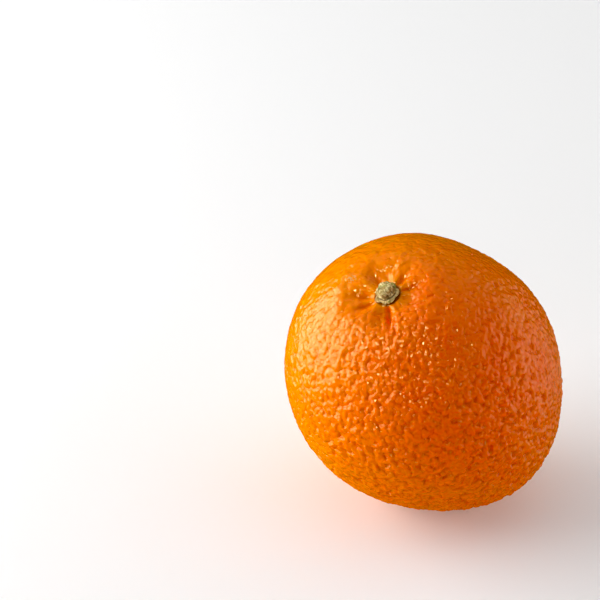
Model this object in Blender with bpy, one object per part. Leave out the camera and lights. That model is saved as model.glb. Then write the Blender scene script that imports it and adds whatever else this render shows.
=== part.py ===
"""Navel orange: the whole fruit, with the dry calyx and the stem stub that stay on it when picked.

Metres, +Z up. The fruit rests on the small flat spot under it and leans, so that its stem end points
up, to the left and forward (-Y is the front). The origin is on the resting surface, under the middle
of the fruit's box.

Every piece is shaped in the fruit's own frame: the origin is the centre of the flesh and +Z runs along
the stem axis, from the navel to the stem. One empty then leans the pieces and stands them on the
resting surface.
"""

import math

import bmesh
import bpy
import numpy as np
from mathutils import Matrix, Vector

# Peel: a ball, drawn out along a long axis that is not the stem axis
FRUIT_RADIUS = 0.0400  # mean radius
LONG_REACH = 0.00172  # how far the long axis reaches past the ball, and the waist falls short of it
POINT_REACH = 0.00040  # extra reach of the blossom end of the long axis over its stem end
SHOULDER_REACH = 0.00036  # reach of both ends that leaves the shoulders between them flatter
LONG_AXIS_TILT = math.radians(41)  # of the long axis from the stem axis
LONG_AXIS_TURN = math.radians(141)  # of the long axis about the stem axis, from +X
SWELLINGS = (  # (tilt from the stem axis and turn about it in degrees, height, half width)
    (132, -52, 0.00075, 0.0130),
    (112, -12, -0.00050, 0.0140),
    (95, 18, 0.00045, 0.0110),
    (62, 45, -0.00075, 0.0110),
    (52, 82, 0.00050, 0.0100),
    (70, -95, 0.00060, 0.0150),
)
PEEL_SEGMENTS = 72
PEEL_RINGS = 48
RING_CROWDING = 0.30  # 0 spaces the rings evenly, 0.5 crowds them all at the stem and the navel

# Dimple and furrows around the stem
DIMPLE_DEPTH = 0.0031
DIMPLE_RADIUS = 0.0150
FURROW_REACH = 0.0125  # distance from the stem axis at which the furrows have run out
FURROW_HALF_WIDTH = 0.0011
FURROWS = (  # (turn about the stem axis in degrees, depth)
    (-94, 0.00085),
    (-60, 0.00035),
    (-27, 0.00040),
    (4, 0.00060),
    (46, 0.00055),
    (80, 0.00035),
    (116, 0.00060),
    (166, 0.00080),
    (-158, 0.00055),
)

# Navel at the blossom end
NAVEL_RADIUS = 0.0055  # of the raised ring
NAVEL_RING_HEIGHT = 0.0004
NAVEL_RING_HALF_WIDTH = 0.0011
NAVEL_DEPTH = 0.0010

# Calyx and stem stub
CALYX_RADIUS = 0.0033
CALYX_THICKNESS = 0.0011  # at its middle
CALYX_RIM = 0.0005  # thickness at its edge
CALYX_LOBES = 5
CALYX_LOBE_REACH = 0.00035
STUB_RADIUS = 0.0022
STUB_HEIGHT = 0.0026
STUB_TAPER = 0.0002  # how much narrower the top is than the foot
STUB_ROUNDING = 0.0005
BUTTON_SEGMENTS = 40

# How the pieces meet and how the fruit lies
TOUCH_GAP = 0.0003  # between pieces that touch
SEAT_MARGIN = 0.0005  # width of the seat that shows around the calyx
SEAT_BLEND = 0.0030  # width over which the flat seat turns into the dimple
REST_SPOT_RADIUS = 0.0085  # where the peel gives under the fruit's weight
LEAN = math.radians(24)  # of the stem axis from upright
LEAN_TOWARDS = math.radians(-138.5)  # direction the stem end leans in, from +X

PEEL_COLOUR = (0.80, 0.17, 0.004)
CALYX_COLOUR = (0.30, 0.24, 0.09)
STUB_COLOUR = (0.45, 0.38, 0.18)


def clear_scene():
    for existing in list(bpy.data.objects):
        bpy.data.objects.remove(existing, do_unlink=True)


def smooth_fade(value, start, end):
    """1 below start, 0 past end and a smooth slope between."""
    share = np.clip((value - start) / (end - start), 0, 1)
    return 1 - share * share * (3 - 2 * share)


def bell(value, half_width):
    return np.exp(-((value / half_width) ** 2))


def finish(name, body, colour, roughness, sharp_angle):
    """Turns a bmesh into a smooth-shaded object with its own material."""
    bmesh.ops.recalc_face_normals(body, faces=body.faces)
    mesh = bpy.data.meshes.new(name)
    body.to_mesh(mesh)
    body.free()
    mesh.shade_smooth()
    mesh.set_sharp_from_angle(angle=sharp_angle)

    material = bpy.data.materials.new(name)
    material.use_nodes = True
    shader = material.node_tree.nodes["Principled BSDF"]
    shader.inputs["Base Color"].default_value = (*colour, 1)
    shader.inputs["Roughness"].default_value = roughness
    shader.inputs["Metallic"].default_value = 0
    mesh.materials.append(material)

    made = bpy.data.objects.new(name, mesh)
    bpy.context.scene.collection.objects.link(made)
    return made


# --- Peel ---


def direction(tilt, turn):
    """Unit vector at a tilt from the stem axis and a turn about it."""
    return np.array((math.sin(tilt) * math.cos(turn), math.sin(tilt) * math.sin(turn), math.cos(tilt)))


def angle_from(unit, axis):
    return np.arccos(np.clip(unit @ axis, -1, 1))


def grown_radius(unit):
    """Radius of the peel without its dimple and navel, along rows of unit vectors."""
    from_blossom_side = angle_from(unit, -direction(LONG_AXIS_TILT, LONG_AXIS_TURN))
    radius = (
        FRUIT_RADIUS
        + LONG_REACH * np.cos(2 * from_blossom_side)
        + POINT_REACH * np.cos(3 * from_blossom_side)
        + SHOULDER_REACH * np.cos(4 * from_blossom_side)
    )
    for tilt, turn, height, half_width in SWELLINGS:
        aside = FRUIT_RADIUS * angle_from(unit, direction(math.radians(tilt), math.radians(turn)))
        radius += height * bell(aside, half_width)
    return radius


def seat_height():
    """Height above the fruit's centre of the flat seat that carries the calyx."""
    return float(grown_radius(np.array([[0.0, 0.0, 1.0]]))[0]) - DIMPLE_DEPTH


def seat_radius():
    return CALYX_RADIUS + CALYX_LOBE_REACH + SEAT_MARGIN


def furrow_depth(turn, from_axis):
    """Depth of the furrows that run out from the stem."""
    depth = np.zeros_like(turn)
    for furrow_turn, furrow_deep in FURROWS:
        aside = (turn - math.radians(furrow_turn) + math.pi) % (2 * math.pi) - math.pi
        depth += furrow_deep * bell(aside * from_axis, FURROW_HALF_WIDTH)
    start = smooth_fade(from_axis, seat_radius(), seat_radius() + FURROW_HALF_WIDTH)
    return depth * (1 - start) * smooth_fade(from_axis, DIMPLE_RADIUS / 3, FURROW_REACH)


def peel_radius(unit):
    """Radius of the finished peel along rows of unit vectors."""
    radius = grown_radius(unit)
    turn = np.arctan2(unit[:, 1], unit[:, 0])
    from_axis = FRUIT_RADIUS * np.hypot(unit[:, 0], unit[:, 1])

    at_stem = unit[:, 2] > 0
    dimple = DIMPLE_DEPTH * smooth_fade(from_axis, seat_radius(), DIMPLE_RADIUS)
    stem_side = radius - dimple - furrow_depth(turn, from_axis)
    on_seat = smooth_fade(from_axis, seat_radius(), seat_radius() + SEAT_BLEND)
    seat = seat_height() / np.maximum(unit[:, 2], 0.5)
    stem_side += (seat - stem_side) * on_seat

    ring = NAVEL_RING_HEIGHT * bell(from_axis - NAVEL_RADIUS, NAVEL_RING_HALF_WIDTH)
    bowl = NAVEL_DEPTH * smooth_fade(from_axis, 0, NAVEL_RADIUS)
    return np.where(at_stem, stem_side, radius + ring - bowl)


def crowd_rings(unit):
    """Moves the rings of unit vectors towards the stem and the navel, where the shape is finest."""
    polar = np.arccos(np.clip(unit[:, 2], -1, 1))
    crowded = polar - RING_CROWDING * np.sin(2 * polar)
    turn = np.arctan2(unit[:, 1], unit[:, 0])
    return np.column_stack(
        (np.sin(crowded) * np.cos(turn), np.sin(crowded) * np.sin(turn), np.cos(crowded))
    )


def cut_rest_spot(body, lean):
    """Cuts the lowest part of the leaning peel off level, as wide as the rest spot."""
    down = (lean.inverted() @ Vector((0, 0, -1))).normalized()
    lowest = max(vertex.co.dot(down) for vertex in body.verts)
    cut_away = FRUIT_RADIUS - math.sqrt(FRUIT_RADIUS**2 - REST_SPOT_RADIUS**2)
    cut = bmesh.ops.bisect_plane(
        body,
        geom=body.verts[:] + body.edges[:] + body.faces[:],
        plane_co=down * (lowest - cut_away),
        plane_no=down,
        clear_outer=True,
    )
    rim = [part for part in cut["geom_cut"] if isinstance(part, bmesh.types.BMEdge)]
    bmesh.ops.contextual_create(body, geom=rim)


def make_fruit(lean):
    body = bmesh.new()
    bmesh.ops.create_uvsphere(body, u_segments=PEEL_SEGMENTS, v_segments=PEEL_RINGS, radius=1)
    unit = crowd_rings(np.array([vertex.co for vertex in body.verts]))
    placed = unit * peel_radius(unit)[:, None]
    for vertex, place in zip(body.verts, placed):
        vertex.co = place
    cut_rest_spot(body, lean)
    return finish("fruit", body, PEEL_COLOUR, 0.38, math.radians(60))


# --- Button ---


def turned_body(profile):
    """Spins an (radius, height) outline that starts and ends on the axis into a closed body."""
    body = bmesh.new()
    points = [body.verts.new((radius, 0, height)) for radius, height in profile]
    outline = [body.edges.new(pair) for pair in zip(points, points[1:])]
    bmesh.ops.spin(
        body,
        geom=points + outline,
        cent=(0, 0, 0),
        axis=(0, 0, 1),
        angle=2 * math.pi,
        steps=BUTTON_SEGMENTS,
        use_merge=True,
    )
    bmesh.ops.remove_doubles(body, verts=body.verts, dist=1e-7)
    return body


def calyx_top():
    return seat_height() + TOUCH_GAP + CALYX_THICKNESS


def make_calyx():
    """The dry star of sepals: flat below, thin at its lobed edge and thickest around the stem."""
    foot = seat_height() + TOUCH_GAP
    shoulder = STUB_RADIUS + TOUCH_GAP
    body = turned_body(
        (
            (0, foot),
            (CALYX_RADIUS * 0.6, foot),
            (CALYX_RADIUS, foot),
            (CALYX_RADIUS, foot + CALYX_RIM),
            (shoulder, calyx_top()),
            (shoulder * 0.5, calyx_top()),
            (0, calyx_top()),
        )
    )
    for vertex in body.verts:
        reach = vertex.co.xy.length
        if reach > shoulder:
            turn = math.atan2(vertex.co.y, vertex.co.x)
            share = (reach - shoulder) / (CALYX_RADIUS - shoulder)
            lobed = reach + share * CALYX_LOBE_REACH * math.cos(CALYX_LOBES * turn)
            vertex.co.xy = vertex.co.xy * (lobed / reach)
    return finish("calyx", body, CALYX_COLOUR, 0.75, math.radians(35))


def make_stem_stub():
    """The short stub left of the stem, snipped off above the calyx."""
    foot = calyx_top() + TOUCH_GAP
    top = foot + STUB_HEIGHT
    top_radius = STUB_RADIUS - STUB_TAPER
    profile = [(0, foot), (STUB_RADIUS * 0.5, foot), (STUB_RADIUS, foot)]
    for step in range(4):
        angle = step / 3 * math.pi / 2
        reach = top_radius - STUB_ROUNDING * (1 - math.cos(angle))
        profile.append((reach, top - STUB_ROUNDING * (1 - math.sin(angle))))
    profile += [(top_radius * 0.4, top), (0, top)]
    return finish("stem_stub", turned_body(profile), STUB_COLOUR, 0.8, math.radians(40))


def stand(pieces, lean):
    """Leans the pieces with one empty and stands them over the origin."""
    places = np.array([lean @ vertex.co for piece in pieces for vertex in piece.data.vertices])
    low, high = places.min(axis=0), places.max(axis=0)
    middle = (low + high) / 2
    holder = bpy.data.objects.new("orange", None)
    holder.matrix_world = Matrix.Translation((-middle[0], -middle[1], -low[2])) @ lean
    bpy.context.scene.collection.objects.link(holder)
    for piece in pieces:
        piece.parent = holder


def main():
    clear_scene()
    lean_axis = Vector((-math.sin(LEAN_TOWARDS), math.cos(LEAN_TOWARDS), 0))
    lean = Matrix.Rotation(LEAN, 4, lean_axis)
    pieces = [make_fruit(lean), make_calyx(), make_stem_stub()]
    stand(pieces, lean)


main()
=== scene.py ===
"""Looks of a navel orange: its pebbled peel, the dry button of its stem end and its navel.

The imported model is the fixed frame. Its pieces give the place, the lean and the shape of the fruit;
this script grows a fine peel over the plain one, and carves the calyx, the stem stub and the navel. The
fruit's own axes have +Z along the stem axis, from the navel to the stem, and every small shape is worked
out in them before it is laid into the frame. Lengths are metres unless a name says otherwise.
"""

from __future__ import annotations

import logging
import math
from collections.abc import Sequence
from dataclasses import dataclass, field
from enum import Enum
from functools import reduce

import bpy
import numpy as np
from mathutils import Matrix, Vector, noise


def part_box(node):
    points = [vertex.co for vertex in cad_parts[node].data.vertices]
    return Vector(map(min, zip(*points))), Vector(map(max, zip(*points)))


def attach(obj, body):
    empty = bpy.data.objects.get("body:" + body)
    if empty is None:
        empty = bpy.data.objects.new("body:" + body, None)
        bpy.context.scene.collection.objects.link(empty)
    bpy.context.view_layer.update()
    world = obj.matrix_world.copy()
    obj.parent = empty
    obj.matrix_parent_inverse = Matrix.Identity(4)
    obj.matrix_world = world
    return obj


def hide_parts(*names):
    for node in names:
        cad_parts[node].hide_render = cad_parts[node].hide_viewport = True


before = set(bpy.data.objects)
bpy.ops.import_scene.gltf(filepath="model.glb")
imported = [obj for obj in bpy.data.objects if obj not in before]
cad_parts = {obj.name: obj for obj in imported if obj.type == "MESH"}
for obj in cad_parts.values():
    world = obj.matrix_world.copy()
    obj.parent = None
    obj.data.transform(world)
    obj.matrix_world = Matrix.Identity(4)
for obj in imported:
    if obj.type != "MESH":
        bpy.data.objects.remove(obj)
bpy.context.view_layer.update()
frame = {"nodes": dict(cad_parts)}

log = logging.getLogger("orange")
Colour = tuple[float, float, float]
Socket = bpy.types.NodeSocket
BODY = "root"
MM = 0.001
MIX_SHARE, MIX_FIRST, MIX_SECOND, MIX_RESULT = 0, 6, 7, 2  # a Mix node's sockets when it mixes colours


class Fill(Enum):
    """How a stretch of values is turned into shares: along a straight or a soft slope."""

    EVEN = "LINEAR"
    SOFT = "SMOOTHSTEP"


class CellMeasure(Enum):
    """What a place's distance is measured from in a pattern of irregular cells."""

    MIDDLE = "F1"
    BORDER = "DISTANCE_TO_EDGE"


# --- Node trees ---


class NodeBench:
    """Adds and links the nodes of one tree, in a material or in a modifier."""

    def __init__(self, tree: bpy.types.NodeTree) -> None:
        """Takes the tree to work on: a material's or a modifier's."""
        self.tree = tree

    def put(self, kind: str, feeds: dict[str | int, object], **settings: object) -> bpy.types.Node:
        """Adds one node.

        Args:
            kind: The node's type name.
            feeds: What goes into its inputs, by name or number: another node's output, or a value.
            **settings: The node's own settings.

        Returns:
            The new node.
        """
        node = self.tree.nodes.new(kind)
        for name, setting in settings.items():
            setattr(node, name, setting)
        for key, value in feeds.items():
            self.feed(node.inputs[key], value)
        return node

    def feed(self, target: Socket, value: object) -> None:
        """Links an output to an input, or sets the input's own value.

        Args:
            target: The input.
            value: An output to link, or a value to set.
        """
        if isinstance(value, bpy.types.NodeSocket):
            self.tree.links.new(value, target)
        else:
            target.default_value = value

    def maths(self, operation: str, first: object, second: object = 0.0, clamp: bool = False) -> Socket:
        """Does one sum on numbers or outputs, and keeps it between 0 and 1 if asked to."""
        node = self.put("ShaderNodeMath", {0: first, 1: second}, operation=operation, use_clamp=clamp)
        return node.outputs[0]

    def total(self, *parts: object) -> Socket:
        """Adds up outputs and numbers."""
        return reduce(lambda result, part: self.maths("ADD", result, part), parts)

    def product(self, *parts: object) -> Socket:
        """Multiplies outputs and numbers with each other."""
        return reduce(lambda result, part: self.maths("MULTIPLY", result, part), parts)

    def vectors(self, operation: str, first: object, second: object) -> Socket:
        """Does one sum on two vectors or outputs."""
        return self.put("ShaderNodeVectorMath", {0: first, 1: second}, operation=operation).outputs[0]

    def scaled(self, vector: Socket, factor: object) -> Socket:
        """Makes a vector longer or shorter by a number or output."""
        node = self.put("ShaderNodeVectorMath", {0: vector, "Scale": factor}, operation="SCALE")
        return node.outputs[0]

    def spread(self, value: Socket, low: object, high: object, fill: Fill = Fill.SOFT) -> Socket:
        """Turns a stretch of values into 0 to 1.

        Args:
            value: The output to read.
            low: The value or output that becomes 0.
            high: The value or output that becomes 1.
            fill: Whether the slope between is straight or soft.

        Returns:
            The share, from 0 to 1.
        """
        feeds = {"Value": value, "From Min": low, "From Max": high, "To Min": 0.0, "To Max": 1.0}
        node = self.put("ShaderNodeMapRange", feeds, interpolation_type=fill.value, clamp=True)
        return node.outputs["Result"]

    def clouds(self, place: Socket, size: float, detail: float = 2.0, roughness: float = 0.5) -> Socket:
        """Adds soft noise.

        Args:
            place: The coordinates, in millimetres.
            size: About how wide one cloud is, in millimetres.
            detail: How many finer layers it has.
            roughness: How strong the finer layers are.

        Returns:
            Its strength, about 0.5 on average.
        """
        feeds = {"Vector": place, "Scale": 1 / size, "Detail": detail, "Roughness": roughness}
        return self.put("ShaderNodeTexNoise", feeds).outputs[0]

    def cells(self, place: Socket, size: float, measured: CellMeasure) -> Socket:
        """Adds irregular cells and measures how far each place is from their middles or borders.

        Args:
            place: The coordinates, in millimetres.
            size: The mean width of a cell, in millimetres.
            measured: What the distance is measured from.

        Returns:
            The distance, in cell widths.
        """
        feeds = {"Vector": place, "Scale": 1 / size}
        return self.put("ShaderNodeTexVoronoi", feeds, feature=measured.value).outputs["Distance"]

    def kept(self, name: str, kind: str) -> Socket:
        """Reads what was kept for each vertex.

        Args:
            name: The attribute's name.
            kind: FLOAT or FLOAT_VECTOR.

        Returns:
            The value.
        """
        if self.tree.bl_idname == "GeometryNodeTree":
            reader = self.put("GeometryNodeInputNamedAttribute", {"Name": name}, data_type=kind)
            return reader.outputs["Attribute"]
        reader = self.put("ShaderNodeAttribute", {}, attribute_name=name)
        return reader.outputs["Vector" if kind == "FLOAT_VECTOR" else "Fac"]

    def blend(self, share: object, first: object, second: object) -> Socket:
        """Mixes two colours.

        Args:
            share: How much of the second shows, from 0 to 1.
            first: The first colour or output.
            second: The second colour or output.

        Returns:
            The mixed colour.
        """
        node = self.put("ShaderNodeMix", {MIX_SHARE: share}, data_type="RGBA", clamp_factor=True)
        for key, colour in ((MIX_FIRST, first), (MIX_SECOND, second)):
            is_output = isinstance(colour, bpy.types.NodeSocket)
            self.feed(node.inputs[key], colour if is_output else (*colour, 1))
        return node.outputs[MIX_RESULT]


# --- The fruit's own axes ---


@dataclass(frozen=True)
class FruitAxes:
    """Where the fruit's own axes lie in the frame.

    Attributes:
        to_frame: Takes a place in the fruit's axes to the frame.
        seat: Height of the calyx's underside above the fruit's middle, along the stem axis.
        stub_foot: Height of the stem stub's underside.
        stub_top: Height of the stem stub's top.
        calyx_reach: Largest distance of the calyx from the stem axis.
        stub_reach: Largest distance of the stem stub from the stem axis.
    """

    to_frame: Matrix
    seat: float
    stub_foot: float
    stub_top: float
    calyx_reach: float
    stub_reach: float

    @classmethod
    def read(cls, nodes: dict[str, bpy.types.Object]) -> FruitAxes:
        """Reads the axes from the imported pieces.

        Args:
            nodes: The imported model's nodes by name.

        Returns:
            The fruit's axes.
        """
        calyx, stub = node_places(nodes["calyx"]), node_places(nodes["stem_stub"])
        foot = Vector(calyx.mean(axis=0))
        stem = (Vector(stub.mean(axis=0)) - foot).normalized()
        low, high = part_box("fruit")
        middle = foot + stem * ((low + high) / 2 - foot).dot(stem)
        turned = Vector((0, 0, 1)).rotation_difference(stem).to_matrix().to_4x4()
        to_frame = Matrix.Translation(middle) @ turned
        calyx, stub = moved(calyx, to_frame.inverted()), moved(stub, to_frame.inverted())
        return cls(
            to_frame=to_frame,
            seat=float(calyx[:, 2].min()),
            stub_foot=float(stub[:, 2].min()),
            stub_top=float(stub[:, 2].max()),
            calyx_reach=float(np.hypot(calyx[:, 0], calyx[:, 1]).max()),
            stub_reach=float(np.hypot(stub[:, 0], stub[:, 1]).max()),
        )


def node_places(piece: bpy.types.Object) -> np.ndarray:
    """Gives the places of a piece's vertices, one row each."""
    places = np.zeros(len(piece.data.vertices) * 3)
    piece.data.vertices.foreach_get("co", places)
    return places.reshape(-1, 3)


def move_vertices(piece: bpy.types.Object, places: np.ndarray) -> None:
    """Puts a piece's vertices at new places, one row each."""
    piece.data.vertices.foreach_set("co", np.ascontiguousarray(places, np.float32).ravel())
    piece.data.update()


def normals_of(piece: bpy.types.Object) -> np.ndarray:
    """Gives the normals at a piece's vertices, one row each."""
    normals = np.zeros(len(piece.data.vertices) * 3)
    piece.data.vertex_normals.foreach_get("vector", normals)
    return normals.reshape(-1, 3)


def moved(places: np.ndarray, matrix: Matrix) -> np.ndarray:
    """Carries rows of places through a matrix."""
    turned = np.array(matrix)
    return places @ turned[:3, :3].T + turned[:3, 3]


def on_ball(polar: np.ndarray, turn: np.ndarray) -> np.ndarray:
    """Gives places on a ball of radius 1 from their angles to +Z and about it, one row each."""
    return np.column_stack((np.sin(polar) * np.cos(turn), np.sin(polar) * np.sin(turn), np.cos(polar)))


def bell(value: np.ndarray, middle: float | np.ndarray, half_width: float) -> np.ndarray:
    """Gives 1 at the middle and a smooth fall to nothing on both sides of it."""
    return np.exp(-(((value - middle) / half_width) ** 2))


def rough_at(places: np.ndarray, size: float) -> np.ndarray:
    """Gives soft noise of about -1 to 1 at rows of places, with waves of the given size."""
    return np.array([noise.noise(Vector(place) / size) for place in places])


def smooth_step(value: np.ndarray, start: float, end: float) -> np.ndarray:
    """Gives 0 before start, 1 past end and a smooth slope between."""
    share = np.clip((value - start) / (end - start), 0, 1)
    return share * share * (3 - 2 * share)


# --- Work in edit mode ---


def take_up(piece: bpy.types.Object) -> None:
    """Deselects everything and makes one piece the selected and active one."""
    bpy.ops.object.select_all(action="DESELECT")
    piece.select_set(True)
    bpy.context.view_layer.objects.active = piece


def apply_modifier(piece: bpy.types.Object, kind: str, **settings: object) -> None:
    """Adds a modifier to a piece and applies it.

    Args:
        piece: The piece.
        kind: The modifier's type name.
        **settings: The modifier's settings.
    """
    modifier = piece.modifiers.new(kind.lower(), kind)
    for name, setting in settings.items():
        setattr(modifier, name, setting)
    take_up(piece)
    bpy.ops.object.modifier_apply(modifier=modifier.name)


def named(piece: bpy.types.Object, name: str) -> bpy.types.Object:
    """Names a piece and its mesh, and gives the piece back."""
    piece.name = name
    piece.data.name = name
    return piece


def close_up(piece: bpy.types.Object) -> None:
    """Merges a piece's doubles and turns its faces outwards."""
    take_up(piece)
    bpy.ops.object.mode_set(mode="EDIT")
    bpy.ops.mesh.select_all(action="SELECT")
    bpy.ops.mesh.remove_doubles(threshold=1e-6)
    bpy.ops.mesh.normals_make_consistent(inside=False)
    bpy.ops.object.mode_set(mode="OBJECT")


def store(piece: bpy.types.Object, name: str, values: np.ndarray) -> None:
    """Keeps a number or a vector for each vertex, for the piece's modifiers and material.

    Args:
        piece: The piece.
        name: The attribute's name.
        values: One number or one row of three for each vertex.
    """
    is_vector = values.ndim == 2
    layer = piece.data.attributes.new(name, "FLOAT_VECTOR" if is_vector else "FLOAT", "POINT")
    key = "vector" if is_vector else "value"
    layer.data.foreach_set(key, np.ascontiguousarray(values, np.float32).ravel())


# --- Peel ---


@dataclass(frozen=True)
class PatternLayers:
    """The peel's pattern as node outputs.

    Attributes:
        height: Height of the skin over its smooth shape, in millimetres.
        shaded_hollow: How deep in a pit the skin is, from 0 to 1; it sets the shade painted in the pits and
            their duller gloss.
    """

    height: Socket
    shaded_hollow: Socket


@dataclass(frozen=True)
class PeelPattern:
    """Swells, lobes, cushions, pits and beads of the peel; sizes in millimetres on the skin.

    The skin is divided into irregular cells. Each cell's middle stands up as a round cushion, and single
    pits lie in the corners where cells meet.

    Attributes:
        sway_width: Width of the waves that bend the cells.
        sway: How far those waves move them.
        cell_width: Mean width of a cell, and so the spacing of the pits.
        pit_depth: Depth of the pits.
        pit_start: Distance from a cell's middle, in cell widths, at which the widest pits begin.
        pit_sparing: How much further out the narrowest pits begin.
        dome_height: How far the middle of a cell stands over its corners.
        lobe_width: Width of the broad soft lobes.
        valley: How far into a lobe, in lobe widths, the valley beside it reaches.
        lobe_height: Their height over the valleys between them.
        bead_width: Width of the fine beads on the skin.
        bead_height: Height of those beads.
        swell_width: Width of the low swells under it all.
        swell_height: Height of those swells.
        region_width: Width of the regions that differ in how pitted they are.
    """

    sway_width: float = 1.8
    sway: float = 0.50
    cell_width: float = 1.40
    pit_depth: float = 0.20
    pit_start: float = 0.58
    pit_sparing: float = 0.08
    dome_height: float = 0.46
    lobe_width: float = 2.8
    valley: float = 0.40
    lobe_height: float = 0.26
    bead_width: float = 1.10
    bead_height: float = 0.08
    swell_width: float = 3.6
    swell_height: float = 0.60
    region_width: float = 8.0

    def lay(self, bench: NodeBench, edge: float) -> PatternLayers:
        """Adds the pattern's nodes to a tree.

        Args:
            bench: The tree's bench.
            edge: Width of the pits' slopes, in cell widths.

        Returns:
            The pattern.
        """
        place = bench.kept("skin_place", "FLOAT_VECTOR")
        lively = bench.kept("lively", "FLOAT")
        bent = bench.vectors("ADD", place, self._waves(bench, place))
        region = bench.spread(bench.clouds(place, self.region_width, 1.0), 0.35, 0.65)

        out = bench.cells(bent, self.cell_width, CellMeasure.MIDDLE)
        spared = bench.maths("ADD", bench.product(region, 0.5), bench.kept("spared", "FLOAT"), clamp=True)
        start = bench.maths("ADD", bench.product(spared, self.pit_sparing), self.pit_start)
        pits = bench.spread(out, start, bench.maths("ADD", start, edge))
        lobes = bench.spread(bench.cells(bent, self.lobe_width, CellMeasure.BORDER), self.valley, 0.0)
        fuller = bench.spread(spared, 2.0, 0.0, Fill.EVEN)
        deeper = bench.spread(region, -0.6, 1.0, Fill.EVEN)
        sunk = bench.total(
            bench.product(pits, self.pit_depth),
            bench.product(out, fuller, self.dome_height, out),
            bench.product(lobes, self.lobe_height, deeper),
        )
        swells = bench.maths("SUBTRACT", bench.clouds(place, self.swell_width, 2.0, 0.55), 0.5)
        beads = bench.clouds(place, self.bead_width, 1.0)
        raised = bench.total(
            bench.product(swells, self.swell_height),
            bench.product(beads, self.bead_height),
        )
        height = bench.maths("SUBTRACT", raised, bench.product(sunk, lively))
        return PatternLayers(height, bench.product(pits, lively))

    def _waves(self, bench: NodeBench, place: Socket) -> Socket:
        """Adds the waves that bend the cells."""
        feeds = {"Vector": place, "Scale": 1 / self.sway_width, "Detail": 1.0}
        noisy = bench.put("ShaderNodeTexNoise", feeds)
        centred = bench.vectors("SUBTRACT", noisy.outputs["Color"], (0.5, 0.5, 0.5))
        return bench.scaled(centred, self.sway)


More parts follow.
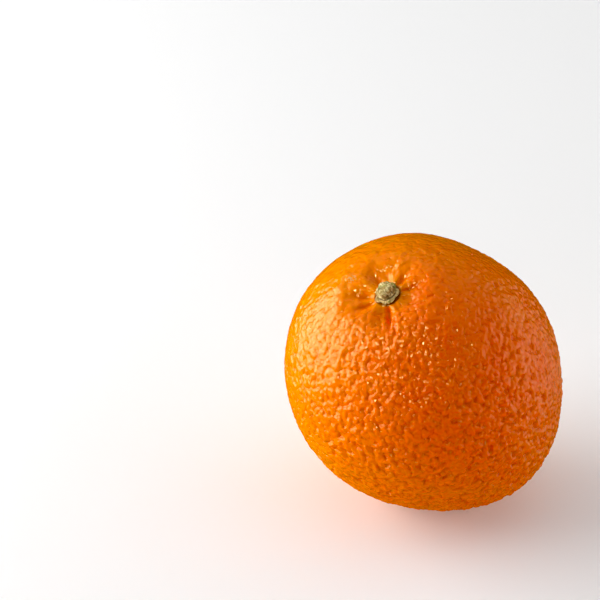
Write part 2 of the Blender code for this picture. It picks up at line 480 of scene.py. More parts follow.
@dataclass(frozen=True)
class PeelFinish:
    """The waxy skin of a ripe orange.

    Attributes:
        ripe: The main colour.
        blush: The redder colour of fine mottles and of the side turned towards the camera, where it is
            partly riper skin and partly skin left without the painted grazing sheen.
        golden: The yellower colour around the stem, and of the sides turned away from the camera, where it
            is partly a painted grazing sheen.
        pit: The darker, redder colour painted as shade down in the pits and along the sharp creases.
        corky: The colour of scars and of the navel's rim.
        rim_and_groove_shade: The dark colour painted as shade on the skin right under the calyx's rim and
            in the navel's groove.
        mottling: How much of the blush shows in fine mottles.
        pit_shading: How much of that painted shade shows down in the pits.
        furrow_shading: How much of that painted shade shows along the sharp creases at the stem.
        roughness: Of the skin's gloss.
        unevenness: How much duller the skin is in patches and in the pits.
        shine: How strongly the skin mirrors.
        wax: How much of a thin sharper wax lies over the skin.
        wax_roughness: Of that wax.
        shine_tint: The colour that the skin gives to what it mirrors.
        density: How strongly the skin bends light.
        glow: How much of the light goes in and comes out elsewhere.
        glow_colours: How far red, green and blue light spread in the skin, against each other.
        glow_reach: How far red light spreads in it.
        fine_share: How much of the relief is deepened by fine shading.
        pit_edge: Width of the pits' slopes in that shading, in cell widths.
        grain: Depth of the finest grain, in millimetres.
    """

    ripe: Colour = (0.92, 0.212, 0.0001)
    blush: Colour = (0.90, 0.098, 0.0001)
    golden: Colour = (0.95, 0.320, 0.0001)
    pit: Colour = (0.80, 0.080, 0.0)
    corky: Colour = (0.80, 0.42, 0.15)
    rim_and_groove_shade: Colour = (0.20, 0.050, 0.008)
    mottling: float = 0.12
    pit_shading: float = 0.25
    furrow_shading: float = 0.7
    roughness: float = 0.21
    unevenness: float = 0.08
    shine: float = 0.44
    wax: float = 0.11
    wax_roughness: float = 0.14
    shine_tint: Colour = (1.0, 0.82, 0.24)
    density: float = 1.45
    glow: float = 0.45
    glow_colours: Colour = (1.0, 0.25, 0.05)
    glow_reach: float = 1.2 * MM
    fine_share: float = 0.60
    pit_edge: float = 0.26
    grain: float = 0.012

    def make(self, pattern: PeelPattern) -> bpy.types.Material:
        """Makes the peel's material.

        Args:
            pattern: The peel's pattern.

        Returns:
            The material.
        """
        material = bpy.data.materials.new("orange_peel")
        material.use_nodes = True
        bench = NodeBench(material.node_tree)
        shader = material.node_tree.nodes["Principled BSDF"]
        place = bench.kept("skin_place", "FLOAT_VECTOR")
        layers = pattern.lay(bench, self.pit_edge)
        bench.feed(shader.inputs["Base Color"], self._colour(bench, place, layers.shaded_hollow))

        grain = bench.product(bench.clouds(place, 0.7, 3.0, 0.6), self.grain)
        height = bench.maths("ADD", bench.product(layers.height, self.fine_share), grain)
        bump = bench.put("ShaderNodeBump", {"Height": height, "Distance": MM, "Strength": 1.0})
        bench.feed(shader.inputs["Normal"], bump.outputs["Normal"])
        bench.feed(shader.inputs["Coat Normal"], bump.outputs["Normal"])

        dull = bench.maths("ADD", bench.spread(bench.clouds(place, 4.0, 2.0, 0.5), 0.3, 0.7), layers.shaded_hollow)
        smoothest = self.roughness - self.unevenness / 2
        varied = bench.maths("ADD", bench.product(dull, self.unevenness), smoothest)
        bench.feed(shader.inputs["Roughness"], varied)
        shader.inputs["Specular IOR Level"].default_value = self.shine
        shader.inputs["Specular Tint"].default_value = (*self.shine_tint, 1)
        shader.inputs["Coat Weight"].default_value = self.wax
        shader.inputs["Coat Roughness"].default_value = self.wax_roughness
        shader.inputs["IOR"].default_value = self.density
        shader.inputs["Subsurface Weight"].default_value = self.glow
        shader.inputs["Subsurface Radius"].default_value = self.glow_colours
        shader.inputs["Subsurface Scale"].default_value = self.glow_reach
        return material

    def _colour(self, bench: NodeBench, place: Socket, shaded_hollow: Socket) -> Socket:
        """Mixes the peel's colours, with shade painted in the pits, along the sharp creases, under the
        calyx's rim and in the navel's groove.

        Args:
            bench: The material's bench.
            place: The place on the skin.
            shaded_hollow: How deep in a pit it is, from 0 to 1, which sets the shade painted there.

        Returns:
            The colour.
        """
        drift = bench.maths("SUBTRACT", bench.product(bench.clouds(place, 15.0, 3.0, 0.55), 0.4), 0.2)
        ripeness = bench.maths("ADD", bench.kept("warmth", "FLOAT"), drift, clamp=True)
        skin = bench.blend(bench.spread(ripeness, 0.0, 0.5, Fill.EVEN), self.golden, self.ripe)
        skin = bench.blend(bench.spread(ripeness, 0.5, 1.0, Fill.EVEN), skin, self.blush)
        mottle = bench.spread(bench.clouds(place, 0.9, 2.0, 0.6), 0.35, 0.75)
        skin = bench.blend(bench.product(mottle, self.mottling), skin, self.blush)
        # Painted shade: the skin is darker and redder down in the pits.
        skin = bench.blend(bench.product(shaded_hollow, self.pit_shading), skin, self.pit)
        # Painted shade: a darker line along the sharp creases that run out from the stem.
        skin = bench.blend(bench.product(bench.kept("furrow_shade", "FLOAT"), self.furrow_shading), skin, self.pit)
        flecks = bench.spread(bench.clouds(place, 0.6, 1.0), 0.42, 0.58)
        missing = bench.maths("SUBTRACT", 1.0, flecks)
        corky = bench.maths("SUBTRACT", bench.kept("corky", "FLOAT"), missing, clamp=True)
        skin = bench.blend(corky, skin, self.corky)
        # Painted shade: dark right under the calyx's rim and in the navel's groove.
        return bench.blend(bench.kept("rim_and_groove_shade", "FLOAT"), skin, self.rim_and_groove_shade)


@dataclass(frozen=True)
class StemCrease:
    """One crease in the skin that runs out from the stem; sizes in millimetres.

    Attributes:
        turn: Its direction about the stem axis, in degrees.
        depth: Its depth; a negative depth makes a ridge.
        half_width: Its half width.
        end: Distance from the stem axis at which it runs out.
        bend: How far it turns on its way, in degrees.
        edge: How sharp it is: 1 is a sharp crease, 2 a rounded valley.
    """

    turn: float
    depth: float
    half_width: float
    end: float
    bend: float = 0.0
    edge: float = 1.15

    def sink(self, turn: np.ndarray, out: np.ndarray) -> np.ndarray:
        """Works out the crease's depth.

        Args:
            turn: Each place's direction about the stem axis, in radians.
            out: Each place's distance from it, in millimetres.

        Returns:
            The depth at each place, in millimetres.
        """
        share = out / self.end
        middle = np.radians(self.turn + self.bend * share)
        aside = (turn - middle + np.pi) % (2 * np.pi) - np.pi
        across = np.sin(np.clip(aside, -1.5, 1.5)) * out
        width = self.half_width * (0.6 + 0.8 * share)
        profile = np.exp(-np.abs(across / width) ** self.edge)
        return self.depth * profile * (1 - smooth_step(share, 0.45, 1.0))


STEM_CREASES = (
    StemCrease(-94, 1.40, 0.48, 17.0, 4),
    StemCrease(-112, 0.70, 2.20, 15.0, 8, 2.0),
    StemCrease(-68, -0.55, 2.20, 16.0, 0, 2.0),
    StemCrease(-138, -0.60, 2.20, 16.0, 0, 2.0),
    StemCrease(172, 0.30, 1.70, 15.0, 6, 2.0),
    StemCrease(140, -0.50, 2.00, 15.0, 0, 2.0),
    StemCrease(104, 0.60, 1.60, 15.0, -4, 2.0),
    StemCrease(62, -0.55, 1.60, 15.0, 0, 2.0),
    StemCrease(24, -0.50, 1.80, 15.0, 0, 2.0),
    StemCrease(-14, -0.40, 1.80, 14.0, 0, 2.0),
    StemCrease(-60, 0.30, 0.45, 10.0, -8),
    StemCrease(-27, 0.40, 0.45, 9.0, 6),
    StemCrease(4, 0.85, 0.55, 12.0, 5),
    StemCrease(46, 0.75, 0.50, 11.0, -6),
    StemCrease(80, 0.60, 0.45, 9.0, 8),
    StemCrease(116, 0.80, 0.70, 13.0, -5),
    StemCrease(166, 0.50, 0.60, 14.0, 6),
    StemCrease(-158, 0.65, 0.60, 15.0, -6),
)


@dataclass(frozen=True)
class Lean:
    """A quality of the peel that grows towards one side of the fruit.

    Attributes:
        side: Direction of that side.
        mean: The quality halfway round.
        gain: How much it grows from there.
    """

    side: tuple[float, float, float]
    mean: float
    gain: float

    def over(self, outward: np.ndarray) -> np.ndarray:
        """Gives the quality at rows of directions from the fruit's middle."""
        return self.mean + self.gain * outward @ np.array(self.side)


@dataclass(frozen=True)
class Skin:
    """Where the peel's vertices lie in the fruit's own axes, one entry each.

    Attributes:
        own: Their places.
        turn: Their direction about the stem axis.
        from_axis: Their distance from it.
        upper: Whether they lie on the stem's half.
    """

    own: np.ndarray
    turn: np.ndarray
    from_axis: np.ndarray
    upper: np.ndarray

    @classmethod
    def read(cls, peel: bpy.types.Object, axes: FruitAxes) -> Skin:
        """Reads the peel's vertices as they are now."""
        own = moved(node_places(peel), axes.to_frame.inverted())
        return cls(own, np.arctan2(own[:, 1], own[:, 0]), np.hypot(own[:, 0], own[:, 1]), own[:, 2] > 0)


@dataclass
class Peel:
    """The whole fruit's skin, grown over the plain CAD fruit.

    Attributes:
        axes: The fruit's own axes.
        pattern: Its lobes, cushions and pits.
        finish: Its waxy skin.
        cuts: Cuts across each quarter of a face of the cube that it is blown up from.
        pit_edge: Width of the pits' slopes in the mesh, in cell widths.
        quad_threshold: Largest angle at which two of the CAD fruit's triangles become a quad.
        crowding: How much closer its vertices lie near the stem.
        stem_pull: Distance from the stem within which the pattern is drawn out towards it.
        calm_from: Distance from the stem axis at which the pattern starts.
        calm_to: Distance at which it is full.
        calm: How much of the pattern is missing around the stem and the navel.
        pleat_height: Height of the fine pleats around the stem, in millimetres.
        pleat_reach: Distance from the stem axis at which they run out.
        ripening_and_grazing_sheen: How warm its colour is: redder on the side turned towards the camera and
            yellower on the sides turned away, partly as ripening and partly as a painted grazing sheen.
        least_ripe: The coolest that it gets.
        greening: How much cooler it is at the stem.
        roughening: How strong its pattern is.
        sparing: How small its pits are.
        scar_spot: Middle of the small scar beside the stem, in the fruit's axes.
        scar_reach: Distance from that middle at which the scar ends.
        navel_reach: Distance of the navel's rim from the stem axis.
        navel_groove: Where the groove inside that rim lies, in shares of that distance.
    """

    axes: FruitAxes
    pattern: PeelPattern = field(default_factory=PeelPattern)
    finish: PeelFinish = field(default_factory=PeelFinish)
    cuts: int = 63
    pit_edge: float = 0.40
    quad_threshold: float = math.radians(60)
    crowding: float = 0.25
    stem_pull: float = 3.5 * MM
    calm_from: float = 3.5 * MM
    calm_to: float = 8.5 * MM
    calm: float = 0.45
    pleat_height: float = 0.16
    pleat_reach: float = 15.0 * MM
    ripening_and_grazing_sheen: Lean = Lean(side=(0.42, -0.84, 0.40), mean=0.32, gain=0.60)
    least_ripe: float = 0.25
    greening: float = 0.40
    roughening: Lean = Lean(side=(0.60, -0.62, -0.66), mean=0.98, gain=0.80)
    sparing: Lean = Lean(side=(0.70, 0.30, 0.65), mean=0.15, gain=0.85)
    scar_spot: tuple[float, float] = (-9.6 * MM, 7.7 * MM)
    scar_reach: float = 2.2 * MM
    navel_reach: float = 5.5 * MM
    navel_groove: float = 0.80

    def build(self) -> bpy.types.Object:
        """Builds and dresses the peel.

        Returns:
            The peel.
        """
        peel = self._blow_up_cube()
        self._wrap(peel)
        self._crease(peel)
        self._mark(peel)
        self._raise_pattern(peel)
        self._rest(peel)
        peel.data.shade_smooth()
        peel.data.materials.append(self.finish.make(self.pattern))
        return peel

    def _blow_up_cube(self) -> bpy.types.Object:
        """Makes a ball of even quads, a little finer near the stem."""
        bpy.ops.object.select_all(action="DESELECT")
        bpy.ops.mesh.primitive_cube_add(size=2)
        peel = named(bpy.context.active_object, "peel")
        bpy.ops.object.mode_set(mode="EDIT")
        bpy.ops.mesh.subdivide(number_cuts=1)
        bpy.ops.mesh.subdivide(number_cuts=self.cuts)
        bpy.ops.object.mode_set(mode="OBJECT")
        even = np.tan(node_places(peel) * math.pi / 4)
        unit = even / np.linalg.norm(even, axis=1)[:, None]
        polar = np.arccos(np.clip(unit[:, 2], -1, 1))
        turn = np.arctan2(unit[:, 1], unit[:, 0])
        polar -= self.crowding * np.sin(polar) * (1 + np.cos(polar)) / 2
        low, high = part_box("fruit")
        ball = on_ball(polar, turn) * (high - low).length / 2
        move_vertices(peel, moved(ball, self.axes.to_frame))
        return peel

    def _wrap(self, peel: bpy.types.Object) -> None:
        """Draws the ball on to a smoothed copy of the CAD fruit."""
        plain = frame["nodes"]["fruit"].copy()
        plain.data = plain.data.copy()
        bpy.context.scene.collection.objects.link(plain)
        close_up(plain)
        bpy.ops.object.mode_set(mode="EDIT")
        bpy.ops.mesh.tris_convert_to_quads(
            face_threshold=self.quad_threshold, shape_threshold=self.quad_threshold
        )
        bpy.ops.object.mode_set(mode="OBJECT")
        apply_modifier(plain, "SUBSURF", levels=2, render_levels=2)
        apply_modifier(
            peel,
            "SHRINKWRAP",
            target=plain,
            wrap_method="PROJECT",
            use_negative_direction=True,
            use_positive_direction=False,
        )
        apply_modifier(peel, "SMOOTH", factor=0.5, iterations=4)
        bpy.data.objects.remove(plain)

    def _crease(self, peel: bpy.types.Object) -> None:
        """Sinks the sharp creases and raises the fine pleats around the stem."""
        skin = Skin.read(peel, self.axes)
        sunk, sharp = np.zeros(len(skin.own)), np.zeros(len(skin.own))
        for crease in STEM_CREASES:
            depth = crease.sink(skin.turn, skin.from_axis / MM)
            sunk += depth
            if crease.edge < 2:
                sharp += depth
        # Keeps the sharp creases' depth, which paints shade along them.
        store(peel, "furrow_shade", np.where(skin.upper, np.clip(sharp, 0, 1), 0))
        calyx_reach = self.axes.calyx_reach
        clear = smooth_step(skin.from_axis, calyx_reach * 0.9, calyx_reach + 1.2 * MM)
        height = np.where(skin.upper, (self._pleats(skin) - sunk) * clear, self._navel(skin)) * MM
        move_vertices(peel, node_places(peel) + normals_of(peel) * height[:, None])

    def _pleats(self, skin: Skin) -> np.ndarray:
        """Works out the height of the fine pleats that run out from the stem.

        Args:
            skin: Where the peel's vertices lie.

        Returns:
            The height at each vertex, in millimetres.
        """
        height = np.zeros(len(skin.own))
        for index in np.flatnonzero(skin.upper & (skin.from_axis < self.pleat_reach)):
            turn, out = skin.turn[index], skin.from_axis[index] / MM
            broad = Vector((math.cos(turn) * 2.6, math.sin(turn) * 2.6, out * 0.10))
            fine = Vector((math.cos(turn) * 5.5, math.sin(turn) * 5.5, out * 0.22))
            ridge = 1 - 2 * abs(noise.noise(broad)) ** 0.8
            height[index] = self.pleat_height * (0.7 * ridge + 0.5 * noise.noise(fine))
        return height * (1 - smooth_step(skin.from_axis, self.pleat_reach * 0.35, self.pleat_reach))

    def _navel(self, skin: Skin) -> np.ndarray:
        """Works out the height of the navel: a thin rim around four lobes with gaps between them.

        Args:
            skin: Where the peel's vertices lie.

        Returns:
            The height at each vertex, in millimetres.
        """
        reach = self._navel_rim(skin.turn)
        rim = 0.32 * bell(skin.from_axis, reach, 0.9 * MM)
        groove = 0.42 * bell(skin.from_axis, reach * self.navel_groove, 0.8 * MM)
        inside = 1 - smooth_step(skin.from_axis / reach, 0.62, self.navel_groove)
        from_gap = np.sin(2 * skin.turn + 0.5 * np.sin(skin.turn)) * skin.from_axis
        return rim - groove + inside * (1.0 - 1.1 * bell(from_gap, 0.0, 0.9 * MM))

    def _navel_rim(self, turn: np.ndarray) -> np.ndarray:
        """Gives the distance of the navel's uneven rim from the stem axis, in each direction."""
        return self.navel_reach * (1 + 0.08 * np.sin(2 * turn + 0.4) + 0.06 * np.sin(3 * turn + 1.3))

    def _mark(self, peel: bpy.types.Object) -> None:
        """Keeps each vertex's place in the pattern, how lively that is and how warm its colour is."""
        skin = Skin.read(peel, self.axes)
        reach = np.linalg.norm(skin.own, axis=1)
        polar = np.arccos(np.clip(skin.own[:, 2] / reach, -1, 1))
        pull = self.stem_pull / reach.mean()
        drawn = polar + (np.hypot(polar, pull) - polar) * (1 - smooth_step(polar, 3 * pull, 8 * pull))
        near_stem = 1 - smooth_step(skin.from_axis, self.calm_from, self.calm_to)
        near_navel = 1 - smooth_step(skin.from_axis, self.navel_reach, self.navel_reach * 2)
        at_ends = np.where(skin.upper, near_stem, near_navel)
        places = node_places(peel)
        outward = places - places.mean(axis=0)
        outward /= np.linalg.norm(outward, axis=1)[:, None]
        # Partly ripening, partly painted grazing sheen: redder on the side turned towards the camera,
        # yellower on the sides turned away.
        ripe = np.maximum(self.ripening_and_grazing_sheen.over(outward), self.least_ripe)
        ripe -= self.greening * np.where(skin.upper, near_stem, 0)
        store(peel, "skin_place", on_ball(drawn, skin.turn) * reach.mean() / MM)
        store(peel, "lively", self.roughening.over(outward) * (1 - self.calm * at_ends))
        store(peel, "spared", np.clip(self.sparing.over(outward), 0, 1))
        store(peel, "warmth", np.clip(ripe, 0, 1))
        self._mark_blemishes_and_shade(peel, skin)

    def _mark_blemishes_and_shade(self, peel: bpy.types.Object, skin: Skin) -> None:
        """Keeps, for each vertex, how corky the skin is and how much painted shade it gets under the
        calyx's rim and in the navel's groove.

        Args:
            peel: The peel.
            skin: Where its vertices lie.
        """
        from_scar = np.linalg.norm(skin.own[:, :2] - np.array(self.scar_spot), axis=1)
        scar = 0.9 * (1 - smooth_step(from_scar, 0.2 * self.scar_reach, self.scar_reach))
        reach = self._navel_rim(skin.turn)
        rim = 1.3 * bell(skin.from_axis, reach, 0.5 * MM)
        store(peel, "corky", np.where(skin.upper, scar, rim))
        calyx_reach = self.axes.calyx_reach
        # Painted shade: a dark ring on the skin under the calyx's rim, and a fainter one in the navel's
        # groove.
        edge = 0.9 * (1 - smooth_step(skin.from_axis, calyx_reach - 0.1 * MM, calyx_reach + 0.4 * MM))
        groove = 0.35 * bell(skin.from_axis, reach * self.navel_groove, 0.5 * MM)
        store(peel, "rim_and_groove_shade", np.where(skin.upper, edge, groove))

    def _raise_pattern(self, peel: bpy.types.Object) -> None:
        """Raises the pattern with a modifier that is applied."""
        tree = bpy.data.node_groups.new("peel_relief", "GeometryNodeTree")
        tree.interface.new_socket("Geometry", in_out="INPUT", socket_type="NodeSocketGeometry")
        tree.interface.new_socket("Geometry", in_out="OUTPUT", socket_type="NodeSocketGeometry")
        bench = NodeBench(tree)
        entry = bench.put("NodeGroupInput", {})
        height = bench.product(self.pattern.lay(bench, self.pit_edge).height, MM)
        normal = bench.put("GeometryNodeInputNormal", {}).outputs["Normal"]
        offset = bench.scaled(normal, height)
        lifted = bench.put("GeometryNodeSetPosition", {"Geometry": entry.outputs[0], "Offset": offset})
        bench.put("NodeGroupOutput", {0: lifted.outputs[0]})
        apply_modifier(peel, "NODES", node_group=tree)

    def _rest(self, peel: bpy.types.Object) -> None:
        """Flattens the peel where it rests."""
        places = node_places(peel)
        places[:, 2] = np.maximum(places[:, 2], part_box("fruit")[0].z)
        move_vertices(peel, places)


# --- Button ---


@dataclass(frozen=True)
class DryFinish:
    """Dried plant matter: the calyx and the stem.

    Attributes:
        name: The material's name.
        pale: The colour of its ridges and edges.
        middling: The colour between.
        deep: The dark colour painted as shade in its hollows and under its rim.
        fresh: The colour of the patches that are still green.
        fresh_from: Strength of the green cloud at which a patch starts, from 0 to 1.
        fibre: Width of its fibres, in millimetres.
        roughness: Of its surface.
        shine: How strongly it mirrors.
    """

    name: str
    pale: Colour
    middling: Colour
    deep: Colour
    fresh: Colour
    fresh_from: float
    fibre: float
    roughness: float = 0.8
    shine: float = 0.25

    def make(self) -> bpy.types.Material:
        """Makes the material.

        Returns:
            The material.
        """
        material = bpy.data.materials.new(self.name)
        material.use_nodes = True
        bench = NodeBench(material.node_tree)
        shader = material.node_tree.nodes["Principled BSDF"]
        place = bench.kept("own_place", "FLOAT_VECTOR")
        drawn = bench.vectors("MULTIPLY", place, (1.0, 1.0, 0.35))
        fibres = bench.clouds(drawn, self.fibre, 3.0, 0.6)
        blotches = bench.clouds(place, 1.3, 2.0, 0.55)
        colour = bench.blend(bench.spread(fibres, 0.38, 0.56), self.middling, self.pale)
        colour = bench.blend(bench.spread(blotches, 0.56, 0.40), colour, self.middling)
        patches = bench.clouds(bench.vectors("ADD", place, (9.0, 4.0, 2.0)), 1.6, 1.0, 0.5)
        patchy = bench.spread(patches, self.fresh_from, self.fresh_from + 0.10)
        colour = bench.blend(bench.product(patchy, 0.8), colour, self.fresh)
        # Painted shade in the hollows and under the rim.
        colour = bench.blend(bench.kept("shaded_hollow", "FLOAT"), colour, self.deep)
        bench.feed(shader.inputs["Base Color"], colour)
        height = bench.maths("ADD", bench.product(fibres, 0.24), bench.product(blotches, 0.20))
        bump = bench.put("ShaderNodeBump", {"Height": height, "Distance": MM, "Strength": 1.0})
        bench.feed(shader.inputs["Normal"], bump.outputs["Normal"])
        shader.inputs["Roughness"].default_value = self.roughness
        shader.inputs["Specular IOR Level"].default_value = self.shine
        return material


CALYX_FINISH = DryFinish(
    name="dry_calyx",
    pale=(0.82, 0.63, 0.27),
    middling=(0.38, 0.23, 0.060),
    deep=(0.050, 0.018, 0.006),
    fresh=(0.24, 0.24, 0.03),
    fresh_from=0.58,
    fibre=0.60,
)
STEM_FINISH = DryFinish(
    name="dry_stem",
    pale=(0.86, 0.72, 0.34),
    middling=(0.38, 0.26, 0.075),
    deep=(0.070, 0.025, 0.008),
    fresh=(0.30, 0.32, 0.05),
    fresh_from=0.58,
    fibre=0.45,
)


@dataclass
class Button:
    """The calyx and the stem stub that stay on the picked fruit.

    Attributes:
        axes: The fruit's own axes.
        spokes: Vertices around each piece.
        lobes: Number of the calyx's lobes.
        cut_turn: Direction towards which the stem's snipped top faces, in degrees.
        cut_slope: How steep that top is.
    """

    axes: FruitAxes
    spokes: int = 80
    lobes: int = 5
    cut_turn: float = 150.0
    cut_slope: float = 0.28

    def build(self) -> list[bpy.types.Object]:
        """Builds and dresses the calyx and the stem stub."""
        return [self._calyx(), self._stub()]

    def _calyx(self) -> bpy.types.Object:
        """Makes the low lobed collar."""
        reach, inner, foot = self.axes.calyx_reach, self.axes.stub_reach, self.axes.seat
        steps = (
            (reach * 0.95, foot + 0.08 * MM),
            (reach, foot + 0.22 * MM),
            (reach, foot + 0.40 * MM),
            (reach * 0.94, foot + 0.58 * MM),
            (reach * 0.84, foot + 0.74 * MM),
            (inner * 1.15, foot + 0.92 * MM),
            (inner * 0.98, foot + 0.86 * MM),
            (inner * 0.60, foot + 0.70 * MM),
        )
        calyx = self._turned("sepals", reach * 0.82, foot, steps)
        places = node_places(calyx)
        turn = np.arctan2(places[:, 1], places[:, 0])
        out = np.hypot(places[:, 0], places[:, 1])
        share = smooth_step(out, inner * 1.05, reach)
        tongue = 0.5 + 0.5 * np.cos(self.lobes * turn + 0.9 + 0.5 * np.sin(2 * turn))
        rough, ragged = rough_at(places, 1.0 * MM), rough_at(places, 0.45 * MM)
        factor = 1 + share * (0.20 * tongue**0.7 - 0.18 + 0.08 * rough + 0.04 * ragged)
        places[:, :2] *= factor[:, None]
        lift = share * (0.45 * tongue - 0.20) * MM + 0.22 * MM * rough * share + 0.08 * MM * ragged
        places[:, 2] += np.where(places[:, 2] > foot + 0.15 * MM, lift, 0)
        places[:, 2] = np.clip(places[:, 2], foot, foot + 1.3 * MM)
        # Painted shade: darker in the groove round the stem, most between the lobes, and under the collar's
        # rim.
        groove = bell(out / inner, 1.12, 0.10) * (0.35 + 0.65 * (1 - tongue))
        under = 1 - smooth_step(places[:, 2], foot + 0.05 * MM, foot + 0.32 * MM)
        shaded_hollow = np.clip(np.maximum(groove, 0.85 * under * share), 0, 1)
        return self._finished(calyx, places, shaded_hollow, CALYX_FINISH)

    def _stub(self) -> bpy.types.Object:
        """Makes the short snipped stem."""
        reach, foot = self.axes.stub_reach, self.axes.stub_foot - 0.40 * MM
        height = self.axes.stub_top - foot
        outline = (
            (1.16, 0.05),
            (1.12, 0.12),
            (1.02, 0.24),
            (0.97, 0.38),
            (0.97, 0.52),
            (1.00, 0.64),
            (0.98, 0.76),
            (0.92, 0.85),
            (0.80, 0.92),
            (0.62, 0.97),
            (0.40, 0.985),
            (0.20, 0.97),
        )
        steps = tuple((reach * width, foot + height * level) for width, level in outline)
        stub = self._turned("stem", reach * 1.12, foot, steps)
        places = node_places(stub)
        turn = np.arctan2(places[:, 1], places[:, 0])
        level = (places[:, 2] - foot) / height
        around = np.column_stack((np.cos(turn) * 2.2, np.sin(turn) * 2.2, level * 0.8)) * MM
        rib = rough_at(around, 1.0 * MM)
        rough, ragged = rough_at(places, 0.9 * MM), rough_at(places, 0.40 * MM)
        corners = 0.055 * np.cos(5 * turn + 2.0) + 0.05 * np.cos(3 * turn + 0.7)
        upper = smooth_step(level, 0.55, 0.85)
        factor = 1 + corners + 0.10 * rib + 0.07 * rough + 0.03 * ragged
        places[:, :2] *= factor[:, None]
        facing = math.radians(self.cut_turn)
        towards = places[:, :2] @ np.array((math.cos(facing), math.sin(facing)))
        places[:, 2] -= upper * (self.cut_slope * (towards + reach) * 0.5)
        places[:, 2] += upper * (0.20 * rough + 0.10 * ragged) * MM
        places[:, 2] = np.minimum(places[:, 2], self.axes.stub_top)
        # Painted shade: darker at the stem's waist, more on the side turned away from the cut, and in the
        # hollows between its ribs.
        waist = bell(level, 0.30, 0.10) * (0.25 + 0.5 * (towards < 0))
        shaded_hollow = np.clip(0.8 * waist + 0.5 * np.clip(-rib * 2 - 0.35, 0, 1), 0, 1)
        return self._finished(stub, places, shaded_hollow, STEM_FINISH)

    def _turned(
        self, name: str, radius: float, foot: float, steps: Sequence[tuple[float, float]]
    ) -> bpy.types.Object:
        """Raises a round body ring by ring from a filled circle.

        Args:
            name: The piece's name.
            radius: The radius of its underside.
            foot: The height of its underside.
            steps: The radius and the height of each further ring.

        Returns:
            The body, in the fruit's axes.
        """
        bpy.ops.object.select_all(action="DESELECT")
        bpy.ops.mesh.primitive_circle_add(
            vertices=self.spokes, radius=radius, fill_type="NGON", location=(0, 0, foot)
        )
        body = named(bpy.context.active_object, name)
        bpy.ops.object.transform_apply(location=True, rotation=True, scale=True)
        bpy.ops.object.mode_set(mode="EDIT")
        bpy.ops.mesh.select_all(action="SELECT")
        width, level = radius, foot
        for next_width, next_level in steps:
            bpy.ops.mesh.extrude_region_move(TRANSFORM_OT_translate={"value": (0, 0, next_level - level)})
            share = next_width / width
            bpy.ops.transform.resize(value=(share, share, 1), center_override=(0, 0, next_level))
            width, level = next_width, next_level
        bpy.ops.object.mode_set(mode="OBJECT")
        close_up(body)
        return body

    def _finished(
        self, piece: bpy.types.Object, places: np.ndarray, shaded_hollow: np.ndarray, finish: DryFinish
    ) -> bpy.types.Object:
        """Rounds a piece off, lays it into the frame and dresses it.

        Args:
            piece: The piece, in the fruit's axes.
            places: Where its vertices go.
            shaded_hollow: How much painted shade each vertex gets, from 0 to 1.
            finish: Its finish.

        Returns:
            The piece.
        """
        move_vertices(piece, places)
        store(piece, "shaded_hollow", shaded_hollow)
        apply_modifier(piece, "SUBSURF", levels=2, render_levels=2)
        store(piece, "own_place", node_places(piece) / MM)
        move_vertices(piece, moved(node_places(piece), self.axes.to_frame))
        piece.data.shade_smooth()
        piece.data.materials.append(finish.make())
        return piece


# --- Studio ---


@dataclass(frozen=True)
class Softbox:
    """One soft light.

    Attributes:
        name: Its name.
        across: Its direction from the fruit: right, up and towards the camera.
        distance: How far it is from the fruit.
        width: Its width.
        height: Its height.
        power: Its power in watts.
        only_gloss: Whether it only gives glints, and leaves the colours as dark as they are.
    """

    name: str
    across: tuple[float, float, float]
    distance: float
    width: float
    height: float
    power: float
    only_gloss: bool = False


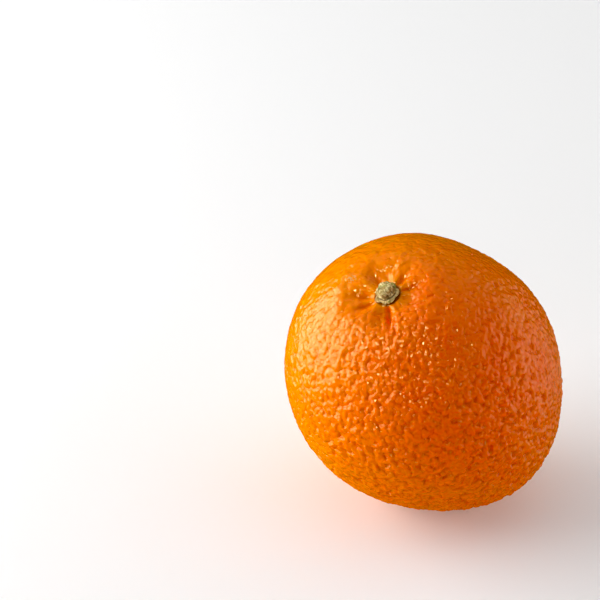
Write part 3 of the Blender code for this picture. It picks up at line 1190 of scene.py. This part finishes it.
@dataclass
class Studio:
    """Floor, lights and camera.

    Attributes:
        elevation: The camera's angle above the horizon, in degrees.
        distance: From the camera to the fruit.
        frame_width: Width of what the camera sees at the fruit.
        aim_right: How far to the right of the fruit the camera aims.
        aim_up: How far above the fruit, in the picture's plane, it aims.
        floor_size: Width of the floor.
        floor_drop: How far the floor lies under the rest spot.
        floor_glow: How much the floor glows by itself near the fruit.
        glow_from: Distance from the fruit at which it starts to glow more, so that it stays pale far off.
        glow_to: Distance at which it is white by itself.
        room_light: Strength of the light from all around.
        black: Brightness that shows as black.
        lights: The softboxes.
    """

    elevation: float = 34.0
    distance: float = 1.1
    frame_width: float = 0.1708
    aim_right: float = -0.0352
    aim_up: float = 0.0205
    floor_size: float = 6.0
    floor_drop: float = 0.1 * MM
    floor_glow: float = 0.12
    glow_from: float = 0.35
    glow_to: float = 0.70
    room_light: float = 0.015
    black: float = 0.012
    lights: tuple[Softbox, ...] = (
        Softbox("key", (-0.95, 0.27, 0.00), 0.75, 0.85, 0.75, 11.5),
        Softbox("fill", (0.92, 0.08, 0.00), 0.85, 1.40, 1.20, 6.7),
        Softbox("top", (0.0, 1.0, 0.30), 1.30, 2.40, 2.00, 10.9),
        Softbox("low", (-0.10, -0.45, 0.85), 1.30, 1.20, 0.25, 2.5),
        Softbox("spark", (-0.38, 0.36, 0.85), 1.00, 0.09, 0.09, 7.0, only_gloss=True),
    )

    def set_up(self) -> None:
        """Puts up the floor, the lights, the world and the camera."""
        low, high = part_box("fruit")
        middle = (low + high) / 2
        tilt = math.radians(self.elevation)
        right = Vector((1, 0, 0))
        up = Vector((0, math.sin(tilt), math.cos(tilt)))
        back = Vector((0, -math.cos(tilt), math.sin(tilt)))
        self._floor(low.z)
        to_studio = Matrix((right, up, back)).transposed()
        for softbox in self.lights:
            self._light(softbox, middle, (to_studio @ Vector(softbox.across)).normalized())
        self._camera(middle + right * self.aim_right + up * self.aim_up, back)
        self._world()
        self._develop()

    def _floor(self, level: float) -> None:
        """Lays the pale floor."""
        bpy.ops.object.select_all(action="DESELECT")
        bpy.ops.mesh.primitive_plane_add(size=self.floor_size, location=(0, 0, level - self.floor_drop))
        floor = named(bpy.context.active_object, "floor")
        bpy.ops.object.transform_apply(location=True, rotation=True, scale=True)
        material = bpy.data.materials.new("pale_floor")
        material.use_nodes = True
        shader = material.node_tree.nodes["Principled BSDF"]
        shader.inputs["Base Color"].default_value = (0.90, 0.90, 0.90, 1)
        shader.inputs["Roughness"].default_value = 0.7
        shader.inputs["Specular IOR Level"].default_value = 0.2
        bench = NodeBench(material.node_tree)
        place = bench.put("ShaderNodeTexCoord", {}).outputs["Object"]
        away = bench.put("ShaderNodeVectorMath", {0: place}, operation="LENGTH").outputs["Value"]
        shader.inputs["Emission Color"].default_value = (1, 1, 1, 1)
        glow = bench.maths("MAXIMUM", bench.spread(away, self.glow_from, self.glow_to), self.floor_glow)
        bench.feed(shader.inputs["Emission Strength"], glow)
        floor.data.materials.append(material)
        floor.visible_glossy = False

    def _light(self, softbox: Softbox, middle: Vector, towards: Vector) -> None:
        """Hangs one softbox and turns it to the fruit."""
        lamp = bpy.data.lights.new(softbox.name, "AREA")
        lamp.shape = "RECTANGLE"
        lamp.size, lamp.size_y = softbox.width, softbox.height
        lamp.energy = softbox.power
        holder = bpy.data.objects.new(softbox.name, lamp)
        holder.visible_diffuse = not softbox.only_gloss
        holder.location = middle + towards * softbox.distance
        holder.rotation_mode = "QUATERNION"
        holder.rotation_quaternion = towards.to_track_quat("Z", "Y")
        bpy.context.scene.collection.objects.link(holder)

    def _camera(self, aim: Vector, back: Vector) -> None:
        """Sets up the camera."""
        lens = bpy.data.cameras.new("camera")
        lens.sensor_width = 36.0
        lens.lens = lens.sensor_width * self.distance / self.frame_width
        holder = bpy.data.objects.new("camera", lens)
        holder.location = aim + back * self.distance
        holder.rotation_mode = "QUATERNION"
        holder.rotation_quaternion = back.to_track_quat("Z", "Y")
        bpy.context.scene.collection.objects.link(holder)
        bpy.context.scene.camera = holder

    def _world(self) -> None:
        """Lights the room softly from all around, and shows it white behind the floor."""
        world = bpy.data.worlds.new("room")
        world.use_nodes = True
        background = world.node_tree.nodes["Background"]
        background.inputs["Color"].default_value = (1.0, 1.0, 1.0, 1)
        bench = NodeBench(world.node_tree)
        seen = bench.put("ShaderNodeLightPath", {}).outputs["Is Camera Ray"]
        bench.feed(background.inputs["Strength"], bench.maths("MAXIMUM", seen, self.room_light))
        bpy.context.scene.world = world

    def _develop(self) -> None:
        """Sets how the picture is shown, with a deep black as in print."""
        view = bpy.context.scene.view_settings
        view.view_transform = "Standard"
        view.use_curve_mapping = True
        view.curve_mapping.black_level = (self.black, self.black, self.black)
        view.curve_mapping.update()


def place_on_fruit(piece: bpy.types.Object, node: str) -> None:
    """Makes a piece ride with the fruit and stand for its CAD node.

    Args:
        piece: The piece.
        node: The CAD node that it replaces.
    """
    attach(piece, BODY)
    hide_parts(node)
    log.info("%s: %d faces, stands for %s", piece.name, len(piece.data.polygons), node)


def main() -> None:
    """Builds every piece and the studio."""
    logging.basicConfig(level=logging.INFO, format="%(name)s: %(message)s")
    axes = FruitAxes.read(frame["nodes"])
    place_on_fruit(Peel(axes).build(), "fruit")
    calyx, stub = Button(axes).build()
    place_on_fruit(calyx, "calyx")
    place_on_fruit(stub, "stem_stub")
    Studio().set_up()


if __name__ == "__main__":
    main()
